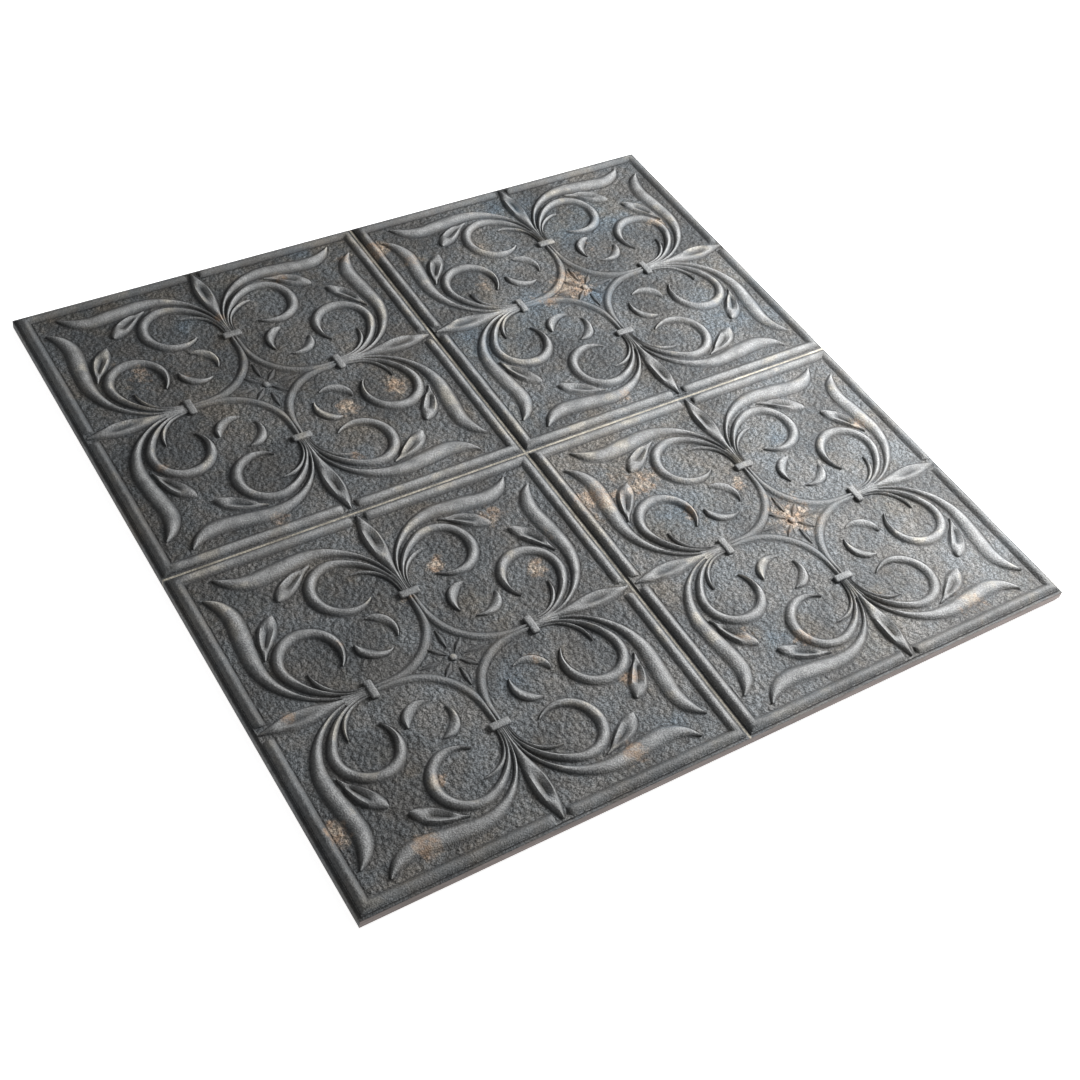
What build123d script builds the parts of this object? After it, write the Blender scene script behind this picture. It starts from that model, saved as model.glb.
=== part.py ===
"""A pressed porcelain wall tile with the look of an old stamped ceiling panel.

The tile is fired as one piece: a square body with a keyed back, scored across its face into four like
panels. Each panel is a flat field inside a rounded bead, with a raised motif on it that repeats about the
panel's two axes and its two diagonals. The origin is the middle of the back, and the face looks along +Z.
"""

import os

from build123d import *

# The body, in millimetres
tile_side = 333.0
panel_count = 2  # along each side
score_level = 4.7  # height of the scored lines and of the outer margin above the back
field_rise = 0.7  # from there to a panel's field
back_chamfer = 0.6

# The bead around each panel
score_width = 2.1  # flat strip between the beads of neighbouring panels
bead_width = 5.2
bead_height = 1.9
bead_gap = 6.0  # opening in the middle of each side, where the tip of a lance leaf lies
bead_gap_draft = 18.0  # degrees
bead_steps = 6  # straight steps that stand for its round

# The key on the back: shallow channels between flat ribs
key_count = 8
key_margin = 9.0
key_rib = 8.0
key_depth = 0.6

# The motif was drawn for a field of this half width, and its sizes below are as drawn. Each ridge of it is
# given by its line from root to tip, its widths at even places along that line, 0 at a pointed end, its height
# above the field, the share of its width that its flat crest has, and the number of straight steps that stand
# for its curves.
drawn_field = 77.0
foot_sink = 0.3  # how far a ridge's foot reaches into the field
arms = 4  # around a panel's middle

# Scroll: a stem that grows from the collar and rolls up into a ring
scroll_root = (2.2, 44.6)
scroll_heading = 70.2  # degrees from +X
scroll_stem_radius = 27.7
scroll_stem_turn = 49.5
scroll_ring_radius = 12.5
scroll_ring_turn = 241.0
scroll_widths = (0, 2.9, 4.5, 5.0, 5.4, 4.4, 0)
scroll_height = 1.9
scroll_crest = 0.3
scroll_steps = 11

# Border leaf: long S-shaped leaf between the scroll and the bead
border_root = (1.2, 46.0)
border_heading = 79.0
border_rise_radius = 29.3
border_rise_turn = 86.0
border_run = 16.5
border_tip_radius = 18.0
border_tip_turn = 59.0
border_widths = (0, 1.8, 3.4, 5.4, 6.8, 7.2, 5.2, 0)
border_height = 1.9
border_crest = 0.3
border_steps = 7

# Bud leaf: short leaf that swells towards its tip, on the back of the scroll
bud_root = (29.4, 64.6)
bud_heading = -22.0
bud_stem_radius = 100.0
bud_stem_turn = 8.0
bud_tip_radius = 12.2
bud_tip_turn = 40.0
bud_widths = (0, 3.2, 5.8, 7.2, 0)
bud_height = 1.7
bud_crest = 0.4
bud_steps = 4

# Comma leaf: one of a pair that faces the scrolls across the panel's diagonal
comma_root = (14.0, 18.6)
comma_heading = 113.0
comma_radius = 9.1
comma_turn = 108.0
comma_widths = (0, 2.9, 4.3, 3.8, 0)
comma_height = 1.5
comma_crest = 0.3
comma_steps = 4

# Diamond: four arcs that bow in towards the panel's middle and run out to the collars
diamond_radius = 26.45
diamond_stem = 0.75  # from the panel's axis to the middle of the arc, where it runs out to the collar
diamond_width = 3.4
diamond_height = 1.2
diamond_crest = 0.4
diamond_steps = 8

# Lance leaf on the panel's axis, out to the opening in the bead
lance_root = 43.0
lance_margin = 1.2  # from its tip to the outer foot of the bead
lance_widths = (0, 3.0, 5.6, 7.2, 7.4, 4.6, 0)
lance_height = 1.9
lance_crest = 0.35
lance_steps = 5

# Star in the middle of the panel
star_axis_petal = (5.2, 14.6)
star_axis_widths = (0, 2.9, 0)
star_diagonal_petal = (2.6, 10.6)
star_diagonal_widths = (0, 3.0, 0)
star_height = 0.8
star_crest = 0.3
star_steps = 2
star_boss_radius = 2.0
star_boss_height = 1.3
star_boss_sides = 8

# Collar, and the trunk above it that the stems grow from
collar_place = 35.4  # from the panel's middle
collar_length = 8.8
collar_width = 3.4
collar_height = 1.8
collar_chamfer = 0.6
trunk_length = 11.0
trunk_widths = (2.2, 7.2)
trunk_height = 1.0
trunk_crest = 0.9
trunk_steps = 1

# What follows from those sizes
panel_side = tile_side / panel_count
panel_edge = (panel_side - score_width) / 2  # from a panel's middle to the foot of its bead
field_half = panel_edge - bead_width
bead_line = panel_edge - bead_width / 2
field_level = score_level + field_rise
field = Plane.XY.offset(field_level)
fit = field_half / drawn_field


def drawn(*point):
    """A point of the motif's drawing, on this tile's field."""
    return Vector(*point) * fit


def heading(angle):
    """The way that a line of the motif sets off."""
    return Vector(1, 0).rotate(Axis.Z, angle)


def ridge(line, widths, height, crest, steps):
    """A ridge on the field along a line of the motif."""

    def half_width(place):
        spot = place * (len(widths) - 1)
        before = min(int(spot), len(widths) - 2)
        return (widths[before] + (widths[before + 1] - widths[before]) * (spot - before)) / 2 * fit

    def corners(share):
        left, right = [], []
        for place in (step / steps for step in range(steps + 1)):
            aside = (line % place).rotate(Axis.Z, 90) * half_width(place) * share
            left.append(line @ place + aside)
            if half_width(place):
                right.append(line @ place - aside)
        return right + left[::-1]

    with BuildPart() as piece:
        for level, share in ((-foot_sink, 1), (height, crest)):
            with BuildSketch(field.offset(level)):
                Polygon(*corners(share), align=None)
        loft(ruled=True)
    return piece.part


with BuildLine() as scroll_line:
    stem = JernArc(
        drawn(*scroll_root), heading(scroll_heading), scroll_stem_radius * fit, -scroll_stem_turn
    )
    JernArc(stem @ 1, stem % 1, scroll_ring_radius * fit, -scroll_ring_turn)
scroll = ridge(scroll_line.wire(), scroll_widths, scroll_height, scroll_crest, scroll_steps)

with BuildLine() as border_line:
    rise = JernArc(
        drawn(*border_root), heading(border_heading), border_rise_radius * fit, -border_rise_turn
    )
    run = PolarLine(rise @ 1, border_run * fit, direction=rise % 1)
    JernArc(run @ 1, run % 1, border_tip_radius * fit, border_tip_turn)
border_leaf = ridge(border_line.wire(), border_widths, border_height, border_crest, border_steps)

with BuildLine() as bud_line:
    stem = JernArc(drawn(*bud_root), heading(bud_heading), bud_stem_radius * fit, -bud_stem_turn)
    JernArc(stem @ 1, stem % 1, bud_tip_radius * fit, -bud_tip_turn)
bud_leaf = ridge(bud_line.wire(), bud_widths, bud_height, bud_crest, bud_steps)

with BuildLine() as comma_line:
    JernArc(drawn(*comma_root), heading(comma_heading), comma_radius * fit, -comma_turn)
comma_leaf = ridge(comma_line.wire(), comma_widths, comma_height, comma_crest, comma_steps)

with BuildLine() as diamond_line:
    inward = Line(drawn(diamond_stem, collar_place), drawn(diamond_stem, diamond_radius + diamond_stem))
    bow = JernArc(inward @ 1, inward % 1, diamond_radius * fit, 90)
    Line(bow @ 1, drawn(collar_place, diamond_stem))
diamond_arc = ridge(diamond_line.wire(), (diamond_width,) * 2, diamond_height, diamond_crest, diamond_steps)

with BuildLine() as lance_line:
    Line(drawn(0, lance_root), (0, panel_edge - lance_margin))
lance_leaf = ridge(lance_line.wire(), lance_widths, lance_height, lance_crest, lance_steps)

with BuildLine() as trunk_line:
    Line(drawn(0, collar_place), drawn(0, collar_place + trunk_length))
trunk = ridge(trunk_line.wire(), trunk_widths, trunk_height, trunk_crest, trunk_steps)

with BuildLine() as axis_petal_line:
    Line(*(drawn(0, place) for place in star_axis_petal))
axis_petal = ridge(axis_petal_line.wire(), star_axis_widths, star_height, star_crest, star_steps)

with BuildLine() as diagonal_petal_line:
    Line(*(drawn(0, place) for place in star_diagonal_petal))
diagonal_petal = ridge(diagonal_petal_line.wire(), star_diagonal_widths, star_height, star_crest, star_steps)

with BuildPart() as collar:
    with BuildSketch(field.offset(-foot_sink)):
        with Locations(drawn(0, collar_place)):
            Rectangle(collar_length * fit, collar_width * fit)
    extrude(amount=collar_height + foot_sink)
    chamfer(collar.faces().sort_by(Axis.Z)[-1].edges(), collar_chamfer)

# A panel: its field, its bead with an opening in the middle of each side, and the motif
with BuildPart() as panel:
    with BuildSketch(Plane.XY.offset(score_level)):
        Rectangle(2 * panel_edge, 2 * panel_edge)
    extrude(amount=field_rise)

    with BuildLine() as bead_path:
        turns = ((bead_line * x, bead_line * y) for x, y in ((1, 1), (-1, 1), (-1, -1), (1, -1)))
        Polyline((bead_line, 0), *turns, close=True)
    with BuildSketch(Plane.XZ):
        with BuildLine():
            outer_foot = (panel_edge, field_level)
            inner_foot = (field_half, field_level)
            crest = (bead_line, field_level + bead_height)
            round_top = ThreePointArc(outer_foot, crest, inner_foot, mode=Mode.PRIVATE)
            Polyline(*(round_top @ (step / bead_steps) for step in range(bead_steps + 1)), close=True)
        make_face()
    sweep(path=bead_path.line, transition=Transition.RIGHT)

    with BuildSketch(field):
        with PolarLocations(bead_line, arms):
            Rectangle(bead_width, bead_gap)
    extrude(amount=2 * bead_height, taper=-bead_gap_draft, mode=Mode.SUBTRACT)

    sided = (scroll, border_leaf, bud_leaf, comma_leaf)
    other_side = (mirror(piece, about=Plane.YZ, mode=Mode.PRIVATE) for piece in sided)
    with PolarLocations(0, arms):
        add([trunk, collar.part, lance_leaf, axis_petal, diamond_arc, *sided, *other_side])
    with PolarLocations(0, arms, start_angle=180 / arms):
        add(diagonal_petal)
    with BuildSketch(field):
        RegularPolygon(star_boss_radius * fit, star_boss_sides)
    extrude(amount=star_boss_height)

with BuildPart() as tile:
    with BuildSketch():
        Rectangle(tile_side, tile_side)
    extrude(amount=score_level)
    chamfer(tile.faces().sort_by(Axis.Z)[0].edges(), back_chamfer)

    key_length = tile_side - 2 * key_margin
    key_pitch = (key_length + key_rib) / key_count
    with BuildSketch():
        with GridLocations(key_pitch, 0, key_count, 1):
            Rectangle(key_pitch - key_rib, key_length)
    extrude(amount=key_depth, mode=Mode.SUBTRACT)

    with GridLocations(panel_side, panel_side, panel_count, panel_count):
        add(panel.part)

tile.part.label = "tile"
os.makedirs("parts", exist_ok=True)
export_step(tile.part, "parts/tile.step")
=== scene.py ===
"""Finishes a pressed porcelain wall tile: the modelled ornament of its face, its glaze and its bare body.

The face is scored into four like panels. Each is a hammered field inside a rounded bead, with a motif of
scrolls and leaves on it. The motif is drawn in millimetres from the middle of a panel, as ridges that
follow lines, and one eighth of it is modelled and then mirrored and turned.
"""

import math
from dataclasses import dataclass

import bmesh
import bpy
import numpy
from bpy.props import FloatProperty, FloatVectorProperty, IntProperty, PointerProperty
from mathutils import Matrix, Vector, noise


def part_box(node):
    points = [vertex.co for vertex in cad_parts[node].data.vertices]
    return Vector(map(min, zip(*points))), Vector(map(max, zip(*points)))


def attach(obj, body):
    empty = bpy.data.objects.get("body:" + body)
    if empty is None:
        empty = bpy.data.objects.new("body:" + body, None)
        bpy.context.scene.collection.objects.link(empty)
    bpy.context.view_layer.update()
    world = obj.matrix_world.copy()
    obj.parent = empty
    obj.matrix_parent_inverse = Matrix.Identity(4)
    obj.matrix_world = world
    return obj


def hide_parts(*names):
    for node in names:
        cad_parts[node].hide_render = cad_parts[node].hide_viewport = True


bl_info = {
    "name": "Pressed Porcelain Tile",
    "version": (1, 0, 0),
    "blender": (4, 5, 0),
    "location": "View3D > Sidebar > Tile",
    "description": "Models and glazes a porcelain wall tile with a stamped relief",
    "category": "Object",
}

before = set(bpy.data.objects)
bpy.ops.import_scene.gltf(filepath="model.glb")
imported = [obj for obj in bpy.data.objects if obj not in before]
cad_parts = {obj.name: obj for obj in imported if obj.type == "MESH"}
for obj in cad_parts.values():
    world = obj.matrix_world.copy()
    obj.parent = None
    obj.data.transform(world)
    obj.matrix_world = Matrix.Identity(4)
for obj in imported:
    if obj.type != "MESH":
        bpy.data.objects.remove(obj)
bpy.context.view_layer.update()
tile_low, tile_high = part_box("tile")

MM = 0.001

# The rim around the hollow of a leaf, as shares of the leaf's half width
RIM_PLACE = 0.62
RIM_SPREAD = 0.33

# How a hollow deepens from its start and runs out at its end, as shares of the leaf's length
HOLLOW_START = 0.2
HOLLOW_END = 0.12


@dataclass
class Ridge:
    """A ridge of the motif as drawn: its line from root to tip, and its section."""

    root: tuple  # x and y
    heading: float  # degrees from +X
    legs: tuple  # length and left turn in degrees of each leg of the line
    widths: tuple  # distance along the line, and the width there
    height: float
    spacing: float = 2.0  # between cross sections
    lean: float = 0.0  # of the crest to the left, as a share of the half width
    hollow: float = 0.0  # depth of an almond hollow inside a rim, as a share of the height
    hollow_span: tuple = (0.0, 1.0)  # where along the line the hollow lies
    wear: float = 1.0  # how thin the glaze has worn on the crest
    pooled_and_shaded: float = 0.0  # how much dark lies all over it: partly pooled glaze, partly painted shade

    @property
    def length(self):
        return sum(length for length, _ in self.legs)

    def at(self, along):
        """The point and the heading at a distance along the line."""
        point, heading = Vector(self.root), math.radians(self.heading)
        for length, turn in self.legs:
            part = min(along, length)
            bend = math.radians(turn) * part / length
            chord = part * math.sin(bend / 2) / (bend / 2) if bend else part
            point += chord * Vector((math.cos(heading + bend / 2), math.sin(heading + bend / 2)))
            heading += bend
            along -= part
        return point, heading

    def width(self, along):
        places, widths = zip(*self.widths)
        return float(numpy.interp(along, places, widths))

    def rise(self, across, place):
        """Height of the section as a share of the ridge's height, at a share of the half width."""
        side = 1 - self.lean if across > self.lean else 1 + self.lean
        away = abs(across - self.lean) / side
        rise = 0.6 * max(0.0, 1 - away**1.9) ** 0.8 + 0.2 * (1 + math.cos(math.pi * away))
        if self.hollow:
            rim = (1 - across**8) * math.exp(-(((abs(across) - RIM_PLACE) / RIM_SPREAD) ** 2))
            start, end = self.hollow_span
            deepening = max(0.0, place - start) / HOLLOW_START
            running_out = max(0.0, end - place) / HOLLOW_END
            rise += (rim - rise) * self.hollow * min(1.0, deepening, running_out)
        return rise


# Ridges to the right of a panel's upward axis, which are mirrored to its left
SCROLL = Ridge(
    root=(1.6, 37.2),
    heading=99.8,
    legs=((7.4, -29.6), (23.9, -49.5), (52.6, -241.0)),
    widths=((0, 0.9), (7.4, 1.1), (20, 2.9), (33, 4.5), (46, 5.0), (58, 5.4), (71, 4.4), (84, 0.5)),
    height=1.9,
)
BORDER_LEAF = Ridge(
    root=(0.9, 37.2),
    heading=96.6,
    legs=((8.8, -17.6), (44.0, -86.0), (16.5, 0.0), (18.5, 59.0)),
    widths=(
        (0, 0.9), (9, 1.0), (22, 1.8), (35, 4.2), (48, 6.9), (61, 8.3), (75, 7.7), (82, 5.2), (88, 0.5),
    ),  # fmt: skip
    height=1.9,
    spacing=2.4,
)
SPRIG = Ridge(
    root=(2.2, 37.2),
    heading=90.2,
    legs=((7.2, -20.2), (17.6, -72.0)),
    widths=((0, 0.7), (7, 0.9), (14, 2.0), (19, 2.0), (25, 0.4)),
    height=1.2,
    spacing=2.1,
)
BUD_LEAF = Ridge(
    root=(29.4, 64.9),
    heading=-20.0,
    legs=((22.0, -22.0),),
    widths=((0, 0.6), (4, 2.4), (8, 5.6), (12, 7.4), (16.5, 7.6), (20, 5.6), (22, 1.6)),
    height=1.7,
    spacing=1.5,
    hollow=0.9,
    hollow_span=(0.14, 0.78),
)
COMMA_LEAF = Ridge(
    root=(14.0, 18.6),
    heading=113.0,
    legs=((17.2, -108.0),),
    widths=((0, 0.4), (5, 3.2), (9.5, 4.8), (13.5, 4.2), (17.2, 0.8)),
    height=1.5,
    spacing=1.5,
    lean=0.45,
)

# Ridges on the upward axis, or across the diagonal, which are only turned
LANCE_LEAF = Ridge(
    root=(0.0, 37.2),
    heading=90.0,
    legs=((43.8, 0.0),),
    widths=((0, 1.0), (6, 1.5), (13, 3.2), (19, 6.0), (25, 8.0), (31, 8.2), (38, 5.2), (43.8, 0.6)),
    height=1.9,
    hollow=0.9,
    hollow_span=(0.4, 0.86),
)
TRUNK = Ridge(
    root=(0.0, 35.4),
    heading=90.0,
    legs=((11.5, 0.0),),
    widths=((0, 3.2), (5, 4.6), (11.5, 7.4)),
    height=0.8,
    spacing=3.0,
)
DIAMOND_ARC = Ridge(
    root=(0.75, 35.4),
    heading=-90.0,
    legs=((8.2, 0.0), (41.5, 90.0), (8.2, 0.0)),
    widths=((0, 1.8), (8, 3.0), (18, 4.2), (40, 4.2), (50, 3.0), (58, 1.8)),
    height=1.2,
    spacing=2.4,
    wear=0.55,
)
AXIS_PETAL = Ridge(
    root=(0.0, 5.2),
    heading=90.0,
    legs=((9.4, 0.0),),
    widths=((0, 0.4), (4.4, 2.8), (9.4, 0.4)),
    height=0.8,
    spacing=1.5,
    wear=0.4,
    pooled_and_shaded=0.6,
)
DIAGONAL_PETAL = Ridge(
    root=(1.85, 1.85),
    heading=45.0,
    legs=((8.0, 0.0),),
    widths=((0, 0.4), (4.0, 3.0), (8.0, 0.4)),
    height=0.8,
    spacing=1.4,
    wear=0.4,
    pooled_and_shaded=0.6,
)

# Places across a ridge, as shares of its half width
ACROSS = (-1.0, -0.9, -0.66, -0.34, 0.0, 0.34, 0.66, 0.9, 1.0)
POOL = 0.7  # width of the glaze that pools on the field along a ridge's foot; the dark of pooled glaze and painted shade fades out across it
POOL_LEVEL = 0.03  # its height above the field
OUTER_POOL = 0.3  # width of the pool on the outer side of the bead
FOOT_LEVEL = 0.06  # height that a ridge starts from
SUNK = -1.2  # level that the shells close at, inside the body

# The bead's ends, and the number of its cross sections
BEAD_END = 2.4  # length that an end is rounded over
BEAD_STATIONS = 26

# The collar, the boss of the star, and the plate of the field
COLLAR_SIZE = (8.8, 3.4, 1.8)
COLLAR_MIDDLE = (0, 35.4, 0.7)
COLLAR_BEVEL = 0.8
BOSS_RADIUS = 1.7
BOSS_FLATNESS = 0.65
FIELD_CELLS = 54
FIELD_TUCK = 0.3  # how far the plate's edge stays inside the outer foot of the bead
FIELD_PLATE = 1.0  # its thickness

# How the relief strays from its drawing
UNEVEN_RATE = 0.09  # how quickly it does so, per millimetre
UNEVEN_SEED = 7

# The body's edges, and the key on its back
BACK_CHAMFER = 0.6
TOP_ROUND = 0.35
KEY_MARGIN = 9.0
KEY_RIB = 8.0
KEY_DEPTH = 0.6
KEY_SLOPE = 0.3

# Where the glaze has worn to copper and buff, and where it has a blue cast: x, y, radius and strength
COPPER_DABS = (
    (79, 87, 9.5, 1.2), (85, -81, 12, 0.85), (4, 146, 8, 0.9), (15, 132, 5, 0.7), (54, 129, 8, 0.4),
    (61, 82, 9, 0.4), (144, 112, 6, 0.7), (112, 99, 10, 0.3), (101, 109, 5, 0.4), (40, 104, 9, 0.4),
    (-131, 111, 11, 0.5), (-47, 146, 4, 0.7), (-83, 131, 4, 0.9), (-57, 57, 5, 1.0), (-31, 60, 6, 1.0),
    (-14, 146, 4, 0.8), (-67, 29, 4, 0.6), (-144, 55, 4, 0.7), (-112, 100, 6, 0.4), (-112, 10, 6, 0.6),
    (-33, -25, 7, 0.8), (-16, -46, 4, 0.6), (-66, -39, 5, 1.0), (-31, -57, 6, 0.8), (-119, -60, 3, 0.6),
    (-158, -133, 6, 1.0), (-133, -152, 6, 1.0), (-116, -130, 4, 0.8), (-55, -98, 4, 0.7),
    (-27, -122, 5, 0.8), (-44, -152, 6, 0.9), (-152, -81, 4, 0.7), (-83, -50, 4, 0.7), (12, -37, 12, 0.7),
    (36, -37, 12, 0.6), (76, -55, 4, 0.8), (46, -62, 5, 0.7), (148, -48, 5, 0.7), (48, -139, 6, 0.7),
    (125, -154, 9, 0.5), (27, -127, 5, 0.7), (59, 11, 6, 0.6), (90, -135, 4, 0.5), (130, -90, 7, 0.4),
)  # fmt: skip
BLUE_DABS = (
    (85, 79, 9, 0.9), (121, 127, 14, 0.7), (52, 77, 14, 0.6), (42, -58, 14, 0.6), (81, 148, 12, 0.8),
    (96, 125, 10, 0.6), (17, 67, 14, 0.7), (-98, 133, 7, 0.5), (-33, 156, 7, 0.5), (10, 21, 9, 0.6),
    (-67, -102, 8, 0.4), (-23, -148, 6, 0.5), (37, -133, 8, 0.5), (140, 40, 20, 0.4), (110, -40, 16, 0.4),
)  # fmt: skip


class TileSizes(bpy.types.PropertyGroup):
    """Sizes of the body and the bead."""

    side: FloatProperty(
        name="Side",
        description="Length of the tile's side",
        default=tile_high[0] - tile_low[0],
        subtype="DISTANCE",
    )
    score_level: FloatProperty(
        name="Score Level",
        description="Height of the scored lines above the back",
        default=4.7 * MM,
        subtype="DISTANCE",
    )
    field_rise: FloatProperty(
        name="Field Rise",
        description="Height of a panel's field above the scored lines",
        default=0.7 * MM,
        subtype="DISTANCE",
    )
    score_width: FloatProperty(
        name="Score Width",
        description="Width of the flat strip between two panels",
        default=2.1 * MM,
        subtype="DISTANCE",
    )
    bead_width: FloatProperty(
        name="Bead Width", description="Width of the bead", default=5.2 * MM, subtype="DISTANCE"
    )
    bead_height: FloatProperty(
        name="Bead Height",
        description="Height of the bead above the field",
        default=1.7 * MM,
        subtype="DISTANCE",
    )
    bead_gap: FloatProperty(
        name="Bead Gap",
        description="Opening of the bead in the middle of each side of a panel",
        default=6.0 * MM,
        subtype="DISTANCE",
    )
    key_count: IntProperty(name="Key Channels", description="Channels on the back", default=8, min=1)
    unevenness: FloatProperty(
        name="Unevenness",
        description="How far the hand-finished look strays from the drawing",
        default=0.16 * MM,
        subtype="DISTANCE",
    )


class TileFinish(bpy.types.PropertyGroup):
    """Colours of the glaze and the body."""

    slate: FloatVectorProperty(
        name="Slate", description="Main colour of the glaze", default=(0.073, 0.075, 0.076), subtype="COLOR"
    )
    pewter: FloatVectorProperty(
        name="Pewter",
        description="Glaze worn thin on the crests",
        default=(0.235, 0.238, 0.238),
        subtype="COLOR",
    )
    # Dark colour along the feet of the relief: partly pooled glaze, partly painted shade
    crease_pool_and_shade: FloatVectorProperty(
        name="Crease",
        description="Glaze pooled along the feet",
        default=(0.018, 0.018, 0.019),
        subtype="COLOR",
    )
    copper: FloatVectorProperty(
        name="Copper", description="Worn patches", default=(0.22, 0.15, 0.1), subtype="COLOR"
    )
    buff: FloatVectorProperty(
        name="Buff",
        description="Paler part of the worn patches",
        default=(0.3, 0.245, 0.19),
        subtype="COLOR",
    )
    blue: FloatVectorProperty(
        name="Blue", description="Cool cast of the glaze", default=(0.085, 0.117, 0.145), subtype="COLOR"
    )
    umber: FloatVectorProperty(
        name="Umber", description="Brown cast of the glaze", default=(0.12, 0.1, 0.07), subtype="COLOR"
    )
    cream: FloatVectorProperty(
        name="Cream", description="Palest wear on the crests", default=(0.38, 0.35, 0.29), subtype="COLOR"
    )
    biscuit: FloatVectorProperty(
        name="Biscuit", description="Bare fired body", default=(0.165, 0.138, 0.128), subtype="COLOR"
    )
    grain: FloatProperty(
        name="Grain", description="Size of the field's hammered marks", default=1.9 * MM, subtype="DISTANCE"
    )


class TileStage(bpy.types.PropertyGroup):
    """The camera and the lights."""

    camera_place: FloatVectorProperty(
        name="Camera",
        description="Where the camera stands",
        default=(-0.30949, -0.39988, 0.50883),
        subtype="TRANSLATION",
    )
    camera_turn: FloatVectorProperty(
        name="Camera Turn",
        description="How the camera is turned",
        default=tuple(math.radians(angle) for angle in (41.731, -6.931, -31.488)),
        subtype="EULER",
    )
    lens: FloatProperty(name="Lens", description="Focal length in millimetres", default=54.936)
    key_place: FloatVectorProperty(
        name="Key Light",
        description="Where the key light hangs",
        default=(0.41, -0.075, 0.28),
        subtype="TRANSLATION",
    )
    key_power: FloatProperty(
        name="Key Power", description="Power of the key light", default=7.7, unit="POWER"
    )
    key_size: FloatProperty(
        name="Key Size", description="Width of the key light", default=0.22, subtype="DISTANCE"
    )
    sky_strength: FloatProperty(name="Sky", description="Strength of the light all round", default=0.32)
    floor_glow: FloatProperty(name="Floor Glow", description="Light that the floor gives", default=0.8)
    floor_reach: FloatProperty(
        name="Floor Reach",
        description="From the tile to the edge of the floor",
        default=6.0,
        subtype="DISTANCE",
    )
    floor_drop: FloatProperty(
        name="Floor Drop",
        description="Gap between the tile and the floor",
        default=0.4 * MM,
        subtype="DISTANCE",
    )


def set_level(vert, layers, crest=0.0, pool_and_shade=0.0, field=0.0, score=0.0):
    """Notes which part of the relief a vertex belongs to, for the glaze."""
    for name, value in (("crest", crest), ("pool_and_shade", pool_and_shade), ("field", field), ("score", score)):
        vert[layers[name]] = value


def bend_grid(bm, stations, place_vert, mitred=False):
    """A grid with the rows of a ridge's section. Its sides and ends, but for a mitre, reach inside."""
    rows = len(ACROSS) + 3
    ends = stations + 1 if mitred else stations + 2
    grid = bmesh.ops.create_grid(bm, x_segments=ends, y_segments=rows, size=0.5)
    for vert in grid["verts"]:
        end = round((vert.co.x + 0.5) * ends)
        row = round((vert.co.y + 0.5) * rows)
        station = min(max(end - 1, 0), stations)
        across = ACROSS[min(max(row - 2, 0), len(ACROSS) - 1)]
        pool = (row > rows - 2) - (row < 2)
        place_vert(vert, station / stations, across, pool)
        if end == 0 or end > stations + 1 or row in (0, rows):
            vert.co.z = SUNK


def add_ridge(bm, layers, ridge):
    """One ridge on the field, bent along its line."""
    widest = max(width for _, width in ridge.widths)

    def place_vert(vert, place, across, pool):
        along = place * ridge.length
        point, heading = ridge.at(along)
        width = ridge.width(along)
        aside = Vector((-math.sin(heading), math.cos(heading)))
        point += aside * (across * width / 2 + pool * POOL)
        height = ridge.height * (0.4 + 0.6 * min(1.0, width / (0.6 * widest)))
        rise = ridge.rise(across, place)
        if pool:
            vert.co = (*point, POOL_LEVEL)
            set_level(vert, layers, field=1.0)
        else:
            vert.co = (*point, max(FOOT_LEVEL, height * rise))
            # Dark towards the feet, or all over a ridge given pooled glaze: partly pooled glaze, partly
            # painted shade
            crest, pool_and_shade = ridge.wear * rise, max(ridge.pooled_and_shaded, 1 - 4 * rise)
            set_level(vert, layers, crest=crest, pool_and_shade=pool_and_shade, field=0.35 * (abs(across) == 1))

    bend_grid(bm, max(4, round(ridge.length / ridge.spacing)), place_vert)


def add_bead(bm, layers, sizes):
    """One eighth of the bead: from the opening in a side to the mitre in a corner."""
    edge = (sizes.side / 2 - sizes.score_width) / 2 / MM
    half = sizes.bead_width / 2 / MM
    height, drop = sizes.bead_height / MM, sizes.field_rise / MM
    gap = sizes.bead_gap / 2 / MM

    def place_vert(vert, place, across, pool):
        away = edge - half + across * half + pool * (POOL if pool < 0 else OUTER_POOL)
        x = gap + (away - gap) * place**1.6
        end = math.sqrt(1 - max(0.0, 1 - (x - gap) / BEAD_END) ** 2)
        rise = 0.5 * max(0.0, 1 - across**2) ** 0.8 + 0.25 * (1 + math.cos(math.pi * across))
        rise *= 0.1 + 0.9 * end
        low = -drop if across > 0 else 0.0
        if pool:
            vert.co = (x, away, low + POOL_LEVEL)
            set_level(vert, layers, field=float(pool < 0), score=float(pool > 0))
        else:
            vert.co = (x, away, low + max(FOOT_LEVEL, (height - low) * rise))
            # Dark towards the bead's feet: partly pooled glaze, partly painted shade
            set_level(vert, layers, crest=0.9 * rise, pool_and_shade=max(0.0, 1 - 4 * rise))

    bend_grid(bm, BEAD_STATIONS, place_vert, mitred=True)


def add_collar(bm, layers):
    """The band that ties the stems together."""
    cube = bmesh.ops.create_cube(bm, size=1.0)
    bmesh.ops.scale(bm, vec=COLLAR_SIZE, verts=cube["verts"])
    bmesh.ops.translate(bm, vec=COLLAR_MIDDLE, verts=cube["verts"])
    edges = dict.fromkeys(edge for vert in cube["verts"] for edge in vert.link_edges)
    bevel = bmesh.ops.bevel(
        bm,
        geom=[edge for edge in edges if max(vert.co.z for vert in edge.verts) > COLLAR_MIDDLE[2]],
        offset=COLLAR_BEVEL,
        offset_type="OFFSET",
        affect="EDGES",
        segments=3,
        profile=0.5,
        material=-1,
    )
    verts = {vert for face in bevel["faces"] for vert in face.verts}
    verts |= {vert for vert in cube["verts"] if vert.is_valid}
    for vert in verts:
        # Dark at the collar's foot: partly pooled glaze, partly painted shade
        set_level(vert, layers, crest=min(0.7, max(0.0, vert.co.z / 2)), pool_and_shade=float(vert.co.z < 0.3))


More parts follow.
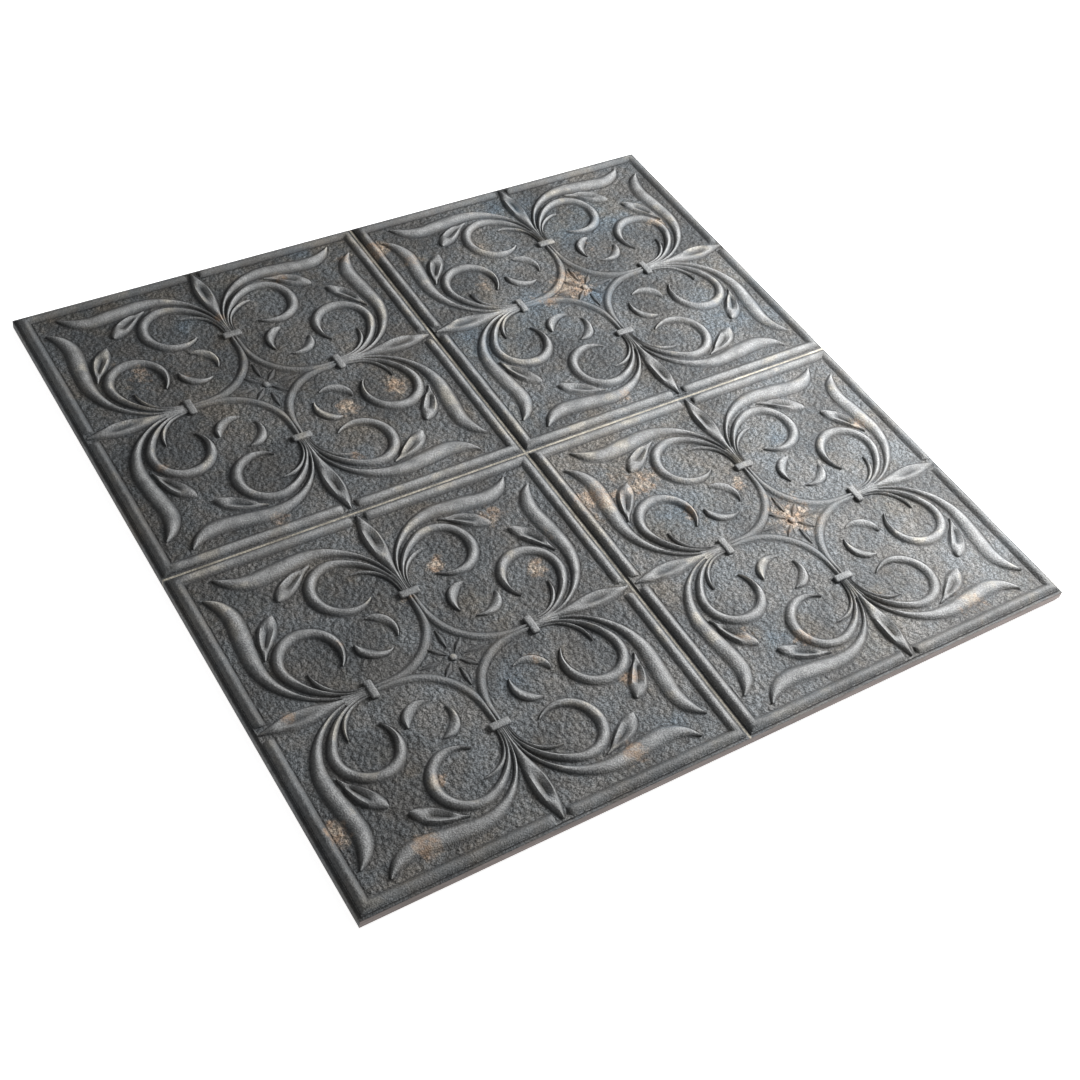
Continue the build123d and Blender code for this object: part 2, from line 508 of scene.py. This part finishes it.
def add_boss(bm, layers):
    """The button in the middle of the star."""
    ball = bmesh.ops.create_uvsphere(bm, u_segments=16, v_segments=10, radius=BOSS_RADIUS)
    bmesh.ops.scale(bm, vec=(1, 1, BOSS_FLATNESS), verts=ball["verts"])
    for vert in ball["verts"]:
        # Dark at the boss's foot: partly pooled glaze, partly painted shade
        set_level(vert, layers, crest=max(0.0, vert.co.z / 1.3), pool_and_shade=float(vert.co.z < 0.3))


def add_field(bm, layers, sizes):
    """The flat field of a panel, as a plate that reaches under the bead."""
    reach = (sizes.side / 2 - sizes.score_width) / 2 / MM - FIELD_TUCK
    grid = bmesh.ops.create_grid(bm, x_segments=FIELD_CELLS, y_segments=FIELD_CELLS, size=reach)
    for vert in grid["verts"]:
        set_level(vert, layers, field=1.0)
    rim = dict.fromkeys(edge for vert in grid["verts"] for edge in vert.link_edges if edge.is_boundary)
    wall = bmesh.ops.extrude_edge_only(bm, edges=list(rim))
    lower = [item for item in wall["geom"] if isinstance(item, bmesh.types.BMVert)]
    bmesh.ops.translate(bm, vec=(0, 0, -FIELD_PLATE), verts=lower)


def add_body(bm, layers, sizes):
    """The body up to the scored lines, with the channels of the key on its back."""
    side, level = sizes.side / MM, sizes.score_level / MM
    cube = bmesh.ops.create_cube(bm, size=1.0)
    bmesh.ops.scale(bm, vec=(side, side, level), verts=cube["verts"])
    bmesh.ops.translate(bm, vec=(0, 0, level / 2), verts=cube["verts"])
    for height, offset, segments in ((0.0, BACK_CHAMFER, 1), (level, TOP_ROUND, 3)):
        bmesh.ops.bevel(
            bm,
            geom=[edge for edge in bm.edges if all(abs(vert.co.z - height) < 0.01 for vert in edge.verts)],
            offset=offset,
            offset_type="OFFSET",
            affect="EDGES",
            segments=segments,
            profile=0.5,
            material=-1,
        )

    length = side - 2 * KEY_MARGIN
    pitch = (length + KEY_RIB) / sizes.key_count
    starts = [KEY_MARGIN - side / 2 + pitch * number for number in range(sizes.key_count)]
    cuts = [((x, 0, 0), (1, 0, 0)) for start in starts for x in (start, start + pitch - KEY_RIB)]
    cuts += [((0, y, 0), (0, 1, 0)) for y in (KEY_MARGIN - side / 2, side / 2 - KEY_MARGIN)]
    back = min(bm.faces, key=lambda face: face.calc_center_median().z)
    geom = [back, *back.edges, *back.verts]
    for place, way in cuts:
        cut = bmesh.ops.bisect_plane(bm, geom=geom, dist=1e-4, plane_co=place, plane_no=way)
        geom = [item for item in cut["geom"] if item.is_valid]
    channels = []
    for face in geom:
        if isinstance(face, bmesh.types.BMFace):
            middle = face.calc_center_median()
            if abs(middle.y) < length / 2 and any(x < middle.x < x + pitch - KEY_RIB for x in starts):
                channels.append(face)
    bmesh.ops.inset_individual(
        bm, faces=channels, thickness=KEY_SLOPE, depth=-KEY_DEPTH, use_even_offset=True
    )
    bm.normal_update()
    for face in bm.faces:
        middle = face.calc_center_median()
        # The -x side takes the dark glaze instead of the bare body: painted shade on the side turned away
        # from the key light
        side_in_painted_shade = middle.x <= 0.1 - side / 2 and middle.z >= BACK_CHAMFER + 0.1
        face.material_index = int(middle.z < level - 0.2 and not side_in_painted_shade)
        for vert in face.verts:
            set_level(vert, layers, score=1.0)


def copy_all(bm, change):
    """Copies everything in the mesh and changes the copy."""
    copy = bmesh.ops.duplicate(bm, geom=bm.verts[:] + bm.edges[:] + bm.faces[:])
    verts = [item for item in copy["geom"] if isinstance(item, bmesh.types.BMVert)]
    change(verts)


def new_relief():
    """An empty mesh with a layer for each part of the relief."""
    bm = bmesh.new()
    return bm, {name: bm.verts.layers.float.new(name) for name in ("crest", "pool_and_shade", "field", "score")}


def model_panels(sizes):
    """The four panels, in millimetres above the back."""
    bm, layers = new_relief()
    for ridge in (SCROLL, BORDER_LEAF, SPRIG, BUD_LEAF, COMMA_LEAF):
        add_ridge(bm, layers, ridge)
    add_bead(bm, layers, sizes)
    sided = bm.verts[:] + bm.edges[:] + bm.faces[:]
    bmesh.ops.mirror(bm, geom=sided, matrix=Matrix(), merge_dist=0.0, axis="X")
    for ridge in (LANCE_LEAF, TRUNK, DIAMOND_ARC, AXIS_PETAL, DIAGONAL_PETAL):
        add_ridge(bm, layers, ridge)
    add_collar(bm, layers)
    arm = bm.verts[:] + bm.edges[:] + bm.faces[:]
    bmesh.ops.spin(bm, geom=arm, axis=(0, 0, 1), angle=math.tau * 3 / 4, steps=3, use_duplicate=True)
    add_boss(bm, layers)
    add_field(bm, layers, sizes)
    bmesh.ops.remove_doubles(bm, verts=bm.verts, dist=1e-3)
    bmesh.ops.holes_fill(bm, edges=[edge for edge in bm.edges if edge.is_boundary], sides=0)

    step = sizes.side / 2 / MM
    level = (sizes.score_level + sizes.field_rise) / MM
    bmesh.ops.translate(bm, vec=(-step / 2, -step / 2, level), verts=bm.verts)
    copy_all(bm, lambda verts: bmesh.ops.translate(bm, vec=(step, 0, 0), verts=verts))
    copy_all(bm, lambda verts: bmesh.ops.translate(bm, vec=(0, step, 0), verts=verts))
    bmesh.ops.recalc_face_normals(bm, faces=bm.faces)

    noise.seed_set(UNEVEN_SEED)
    amount = sizes.unevenness / MM
    for vert in bm.verts:
        stray = noise.noise_vector(vert.co * UNEVEN_RATE) * amount
        raised = max(0.0, vert.co.z - level)
        vert.co += Vector((stray.x, stray.y, min(0.0, stray.z) * 0.6 * min(1.0, raised)))
    return bm


def dab_strength(places, dabs):
    """How strongly the dabs tint each place."""
    strength = numpy.zeros(len(places))
    for x, y, radius, amount in dabs:
        away = numpy.hypot(places[:, 0] - x * MM, places[:, 1] - y * MM) / (radius * MM)
        strength += amount * numpy.exp(-(away**2))
    return numpy.clip(strength, 0, 1.2)


class Finish:
    """A material, with short ways to add and join its nodes."""

    def __init__(self, name):
        self.material = bpy.data.materials.new(name)
        self.material.use_nodes = True
        self.tree = self.material.node_tree
        self.shader = self.tree.nodes["Principled BSDF"]
        place = self.add("TexCoord").outputs["Object"]
        self.place = self.add("VectorMath", {0: place, "Scale": 1 / MM}, operation="SCALE").outputs[0]

    def add(self, kind, inputs=None, **settings):
        node = self.tree.nodes.new("ShaderNode" + kind)
        for name, value in settings.items():
            setattr(node, name, value)
        for name, value in (inputs or {}).items():
            self.join(value, node.inputs[name])
        return node

    def join(self, value, socket):
        if isinstance(value, bpy.types.NodeSocket):
            self.tree.links.new(value, socket)
        else:
            socket.default_value = value

    def set(self, **sockets):
        for name, value in sockets.items():
            self.join(value, self.shader.inputs[name.replace("_", " ")])

    def math(self, operation, first, second=0.0, third=0.0):
        return self.add("Math", {0: first, 1: second, 2: third}, operation=operation).outputs[0]

    def layer(self, name):
        return self.add("Attribute", attribute_name=name).outputs["Fac"]

    def noise(self, size, detail=3.0, roughness=0.55, place=None):
        inputs = {"Scale": 1 / size, "Detail": detail, "Roughness": roughness}
        return self.add("TexNoise", {"Vector": place or self.place, **inputs}).outputs["Fac"]

    def ease(self, value, low, high, to_low=0.0, to_high=1.0):
        inputs = {"Value": value, "From Min": low, "From Max": high, "To Min": to_low, "To Max": to_high}
        return self.add("MapRange", inputs, interpolation_type="SMOOTHSTEP").outputs["Result"]

    def mix(self, amount, first, second, blend="MIX"):
        inputs = {"Factor": amount}
        for socket, colour in ((6, first), (7, second)):
            inputs[socket] = colour if isinstance(colour, bpy.types.NodeSocket) else (*colour, 1.0)
        return self.add("Mix", inputs, data_type="RGBA", blend_type=blend).outputs[2]

    def bump(self, height, distance, strength=1.0, under=None):
        inputs = {"Height": height, "Distance": distance, "Strength": strength}
        node = self.add("Bump", inputs)
        if under:
            self.join(under, node.inputs["Normal"])
        return node.outputs["Normal"]


def dim(colour, share):
    """A colour made darker, or lighter by a share above 1."""
    return [share * part for part in colour]


def mix_glaze(finish):
    """Matt metallic-looking glaze, dark in the creases with pooled glaze and painted shade, thin on the
    crests and worn in patches.
    """
    glaze = Finish("worn slate glaze")
    crest, pool_and_shade, field, score = (glaze.layer(name) for name in ("crest", "pool_and_shade", "field", "score"))
    grain = finish.grain / MM
    axes = glaze.add("SeparateXYZ", {0: glaze.place}).outputs
    across, along = (glaze.math("ABSOLUTE", axes[number]) for number in (0, 1))

    # Hammered marks of the field, and the finer grit all over
    cells = glaze.add(
        "TexVoronoi", {"Vector": glaze.place, "Scale": 1 / grain, "Smoothness": 0.6}, feature="SMOOTH_F1"
    ).outputs["Distance"]
    dimples = glaze.math("SUBTRACT", 1.0, cells)
    grit = glaze.noise(0.34 * grain, 2, 0.6)

    # Clouds in the slate, with painted shade darkening it towards the -x,+y corner, and blue, brown and
    # faint warm and cool casts
    cloud = glaze.noise(38, 3)
    corner = glaze.ease(glaze.math("SUBTRACT", axes[0], axes[1]), -260, 60, -0.45, 0.0)
    tone = glaze.math("ADD", glaze.ease(cloud, 0.35, 0.65), corner)
    colour = glaze.mix(tone, dim(finish.slate, 0.66), dim(finish.slate, 1.25))
    blue = glaze.math("MULTIPLY", glaze.layer("blue"), glaze.ease(glaze.noise(9), 0.3, 0.7, 0.35, 1.0))
    colour = glaze.mix(blue, colour, finish.blue)
    rust = glaze.ease(glaze.noise(24, 4, 0.6), 0.5, 0.68, 0.0, 0.25)
    colour = glaze.mix(rust, colour, finish.umber)

    cool, warm = (0.86, 1.0, 1.12), (1.14, 1.0, 0.86)
    cast = glaze.mix(glaze.ease(glaze.noise(13, 4, 0.65), 0.36, 0.64), cool, warm)
    colour = glaze.mix(0.4, colour, cast, "MULTIPLY")

    # Thin on the crests, less so on the bead around the tile's edge
    uneven = glaze.ease(glaze.noise(6), 0.3, 0.65, 0.45, 0.9)
    thin = glaze.math("MULTIPLY", glaze.ease(crest, 0.15, 0.95), uneven)
    rim = glaze.ease(glaze.math("MAXIMUM", across, along), 156, 161, 1.0, 0.35)
    thin = glaze.math("MULTIPLY", thin, rim)
    cream = glaze.ease(glaze.noise(16, 3), 0.56, 0.68, 0.0, 0.6)
    colour = glaze.mix(thin, colour, glaze.mix(cream, finish.pewter, finish.cream))

    # Worn to copper and buff in patches
    patch = glaze.math("MULTIPLY_ADD", glaze.noise(6, 5, 0.7), 1.9, glaze.layer("copper"))
    worn = glaze.ease(patch, 1.25, 1.75, 0.0, 0.85)
    worn = glaze.math("MULTIPLY", worn, glaze.ease(glaze.noise(2.2, 3, 0.7), 0.35, 0.6, 0.35, 1.0))
    bare = glaze.mix(glaze.ease(glaze.noise(4), 0.4, 0.62), finish.copper, finish.buff)
    colour = glaze.mix(worn, colour, bare)

    # Rubbed pale along the scored cross
    away = glaze.math("MINIMUM", across, along)
    rubbed = glaze.math("MULTIPLY", score, glaze.ease(away, 0.3, 0.6, 0.9, 0.0))
    stain = glaze.ease(glaze.noise(14, 4, 0.7), 0.4, 0.62)
    colour = glaze.mix(rubbed, colour, glaze.mix(stain, dim(finish.cream, 0.6), finish.cream))

    # Specks, and dark along the feet that is partly pooled glaze and partly painted shade
    # Specks of random tone, lighter on the tops of the raised hammered marks: partly the glaze's own
    # speckle, partly painted shading of the marks
    speck_and_grain_shade = glaze.ease(glaze.math("MULTIPLY_ADD", dimples, 0.12, grit), 0.4, 0.76, 0.35, 1.75)
    speck_and_grain_shade = glaze.add("CombineColor", {0: speck_and_grain_shade, 1: speck_and_grain_shade, 2: speck_and_grain_shade}).outputs[0]
    colour = glaze.mix(glaze.math("MULTIPLY_ADD", field, 0.5, 0.4), colour, speck_and_grain_shade, "MULTIPLY")
    pooled_and_shaded = glaze.math("MULTIPLY", pool_and_shade, glaze.ease(glaze.noise(5), 0.25, 0.6, 0.45, 0.8))
    colour = glaze.mix(pooled_and_shaded, colour, finish.crease_pool_and_shade)

    gloss = glaze.ease(glaze.noise(3, 3), 0.3, 0.7, 0.55, 0.75)
    relief = glaze.bump(glaze.math("MULTIPLY", dimples, field), 0.8 * MM, 0.9)
    relief = glaze.bump(grit, 0.55 * MM, 0.9, relief)
    relief = glaze.bump(glaze.noise(3.5, 3), 0.12 * MM, 0.6, relief)
    glaze.set(Base_Color=colour, Roughness=gloss, Normal=relief, Metallic=0.0, Specular_IOR_Level=0.35)
    return glaze.material


def mix_biscuit(finish):
    """Bare fired body with the fine lines that pressing left along its edges."""
    body = Finish("bare biscuit body")
    flat = body.add("Mapping", {"Vector": body.place, "Scale": (0.05, 0.05, 2.6)}).outputs[0]
    lines = body.noise(1.0, 4, 0.6, flat)
    colour = body.mix(body.ease(lines, 0.3, 0.7), dim(finish.biscuit, 0.62), dim(finish.biscuit, 1.15))
    pits = body.ease(body.noise(0.6, 2), 0.55, 0.75, 0.0, 0.4)
    colour = body.mix(pits, colour, dim(finish.biscuit, 0.4))
    relief = body.bump(body.math("ADD", lines, body.noise(0.8, 3)), 0.1 * MM, 0.6)
    body.set(Base_Color=colour, Roughness=0.85, Normal=relief)
    return body.material


class OBJECT_OT_press_tile(bpy.types.Operator):
    """Model the tile with its relief, and glaze it"""

    bl_idname = "object.press_tile"
    bl_label = "Press Tile"

    def execute(self, context):
        sizes, finish = context.scene.tile_sizes, context.scene.tile_finish
        body, layers = new_relief()
        add_body(body, layers, sizes)
        panels = model_panels(sizes)
        relief = bpy.data.meshes.new("panels")
        panels.to_mesh(relief)
        panels.free()
        body.from_mesh(relief)
        bpy.data.meshes.remove(relief)
        bmesh.ops.scale(body, vec=(MM, MM, MM), verts=body.verts)
        body.normal_update()
        for face in body.faces:
            face.smooth = True
        for edge in body.edges:
            edge.smooth = edge.calc_face_angle(0.0) < math.radians(50)

        mesh = bpy.data.meshes.new("tile_relief")
        body.to_mesh(mesh)
        body.free()
        places = numpy.zeros(len(mesh.vertices) * 3)
        mesh.vertices.foreach_get("co", places)
        places = places.reshape(-1, 3)
        for name, dabs in (("copper", COPPER_DABS), ("blue", BLUE_DABS)):
            layer = mesh.attributes.new(name, "FLOAT", "POINT")
            layer.data.foreach_set("value", dab_strength(places, dabs).astype(numpy.float32))
        mesh.materials.append(mix_glaze(finish))
        mesh.materials.append(mix_biscuit(finish))

        tile = bpy.data.objects.new("tile_relief", mesh)
        context.collection.objects.link(tile)
        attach(tile, "root")
        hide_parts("tile")
        return {"FINISHED"}


class SCENE_OT_set_tile_stage(bpy.types.Operator):
    """Lay the floor, and set the lights and the camera"""

    bl_idname = "scene.set_tile_stage"
    bl_label = "Set Stage"

    def execute(self, context):
        scene, stage = context.scene, context.scene.tile_stage

        bm = bmesh.new()
        bmesh.ops.create_grid(bm, x_segments=1, y_segments=1, size=stage.floor_reach)
        bmesh.ops.translate(bm, vec=(0, 0, tile_low[2] - stage.floor_drop), verts=bm.verts)
        mesh = bpy.data.meshes.new("floor")
        bm.to_mesh(mesh)
        bm.free()
        paper = Finish("white paper")
        paper.set(Base_Color=(0.8, 0.8, 0.8, 1), Roughness=0.9)
        paper.set(Emission_Color=(1, 1, 1, 1), Emission_Strength=stage.floor_glow)
        mesh.materials.append(paper.material)
        floor = bpy.data.objects.new("floor", mesh)
        context.collection.objects.link(floor)

        world = scene.world or bpy.data.worlds.new("sky")
        scene.world = world
        world.use_nodes = True
        sky = world.node_tree.nodes["Background"]
        sky.inputs["Color"].default_value = (1, 1, 1, 1)
        sky.inputs["Strength"].default_value = stage.sky_strength

        lamp = bpy.data.lights.new("key", "AREA")
        lamp.shape = "DISK"
        lamp.size = stage.key_size
        lamp.energy = stage.key_power
        key = bpy.data.objects.new("key", lamp)
        key.location = stage.key_place
        key.rotation_euler = (-Vector(stage.key_place)).to_track_quat("-Z", "Y").to_euler()
        context.collection.objects.link(key)

        lens = bpy.data.cameras.new("camera")
        lens.sensor_width = 36
        lens.lens = stage.lens
        lens.clip_start = 0.01
        camera = bpy.data.objects.new("camera", lens)
        camera.location = stage.camera_place
        camera.rotation_euler = stage.camera_turn
        context.collection.objects.link(camera)
        scene.camera = camera
        scene.view_settings.view_transform = "Standard"
        return {"FINISHED"}


class VIEW3D_PT_tile(bpy.types.Panel):
    """Sizes, finish and stage of the tile"""

    bl_label = "Pressed Tile"
    bl_space_type = "VIEW_3D"
    bl_region_type = "UI"
    bl_category = "Tile"

    def draw(self, context):
        for group, operator in (
            (context.scene.tile_sizes, None),
            (context.scene.tile_finish, OBJECT_OT_press_tile),
            (context.scene.tile_stage, SCENE_OT_set_tile_stage),
        ):
            column = self.layout.column()
            for name in group.__annotations__:
                column.prop(group, name)
            if operator:
                column.operator(operator.bl_idname)


classes = (TileSizes, TileFinish, TileStage, OBJECT_OT_press_tile, SCENE_OT_set_tile_stage, VIEW3D_PT_tile)


def register():
    for cls in classes:
        bpy.utils.register_class(cls)
    bpy.types.Scene.tile_sizes = PointerProperty(type=TileSizes)
    bpy.types.Scene.tile_finish = PointerProperty(type=TileFinish)
    bpy.types.Scene.tile_stage = PointerProperty(type=TileStage)


def unregister():
    del bpy.types.Scene.tile_stage
    del bpy.types.Scene.tile_finish
    del bpy.types.Scene.tile_sizes
    for cls in reversed(classes):
        bpy.utils.unregister_class(cls)


def main():
    register()
    bpy.ops.object.press_tile()
    bpy.ops.scene.set_tile_stage()


if __name__ == "__main__":
    main()
